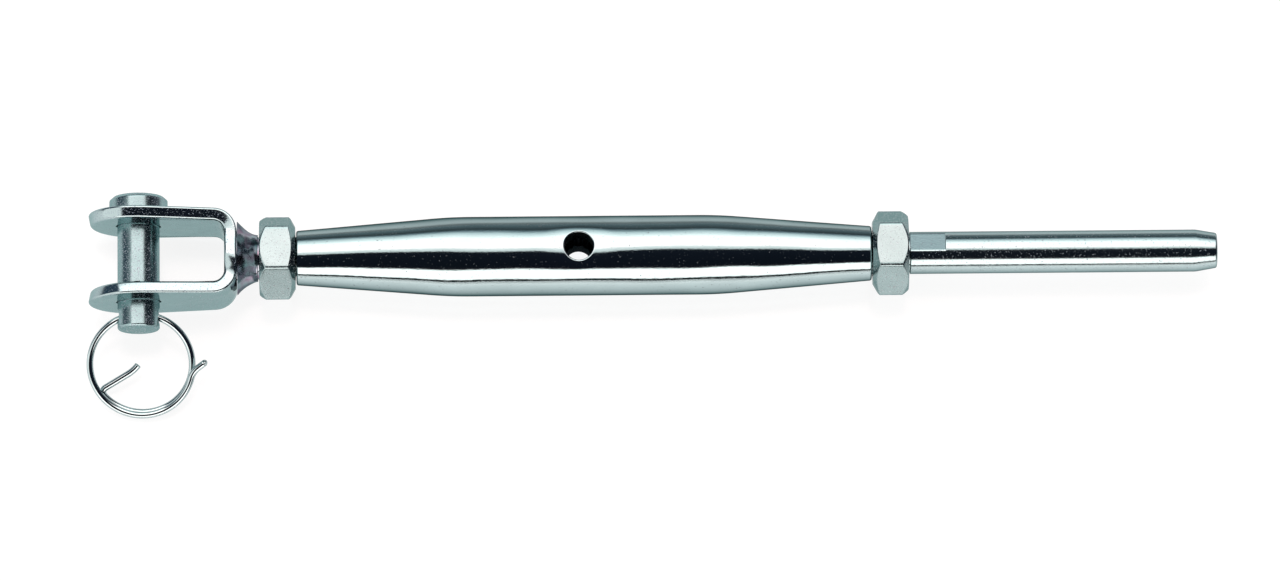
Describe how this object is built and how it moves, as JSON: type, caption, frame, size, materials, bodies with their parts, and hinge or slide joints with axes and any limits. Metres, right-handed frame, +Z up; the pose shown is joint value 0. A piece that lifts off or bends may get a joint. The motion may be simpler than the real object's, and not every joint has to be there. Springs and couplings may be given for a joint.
{
  "type": "shroud adjuster",
  "caption": "Closed-body rigging screw with a fork, clevis pin and split ring at one end, and a swage stud for rigging wire at the other.",
  "frame": {"origin": "middle of the jaw, on the clevis pin's axis", "axes": "+X along the screw, from the fork to the swage end; +Y along the clevis pin, towards its head; +Z up, with the screw lying on its side"},
  "size_m": [0.1702, 0.0324, 0.0152],
  "materials": {
    "polished_steel": "stainless steel, mirror polished",
    "satin_steel": "stainless steel, satin, fine grain",
    "turned_steel": "stainless steel, turned and polished",
    "tumbled_steel": "stainless steel, tumbled bright",
    "weld_steel": "weld metal with purple and blue heat tint",
    "wire_steel": "drawn stainless spring wire, bright"
  },
  "bodies": {
    "fork": {"fork_strap": "tumbled_steel", "fork_stud": "turned_steel", "fork_weld": "weld_steel"},
    "fork_nut": {"fork_lock_nut": "satin_steel"},
    "barrel": {"barrel": "polished_steel"},
    "swage": {"swage_stud": "turned_steel"},
    "swage_nut": {"swage_lock_nut": "satin_steel"},
    "pin": {"clevis_pin": "tumbled_steel"},
    "ring": {"split_ring": "wire_steel"}
  },
  "joints": [
    {"name": "barrel_travel", "type": "slide", "parent": "fork", "child": "fork_nut", "axis": [1, 0, 0], "range_m": [0, 0.0254]},
    {"name": "barrel_turn", "type": "hinge", "parent": "fork_nut", "child": "barrel", "pos_m": [0.067, 0, 0], "axis": [-1, 0, 0], "range_deg": [0, 10080]},
    {"name": "swage_slide", "type": "slide", "parent": "fork", "child": "swage", "axis": [1, 0, 0], "range_m": [0, 0.0508]},
    {"name": "swage_nut_slide", "type": "slide", "parent": "swage", "child": "swage_nut", "axis": [-1, 0, 0], "range_m": [0, 0.0254]},
    {"name": "pin_turn", "type": "hinge", "parent": "fork", "child": "pin", "pos_m": [0, 0, 0], "axis": [0, 1, 0], "continuous": true},
    {"name": "ring_swing", "type": "hinge", "parent": "pin", "child": "ring", "pos_m": [0, -0.00881, 0], "axis": [1, 0, 0], "range_deg": [-112, 57]}
  ],
  "couplings": [
    {"joint": "barrel_turn", "follows": "barrel_travel", "rad_per_m": 6926.3},
    {"joint": "swage_slide", "follows": "barrel_travel", "ratio": 2},
    {"joint": "swage_nut_slide", "follows": "barrel_travel", "ratio": 1}
  ]
}
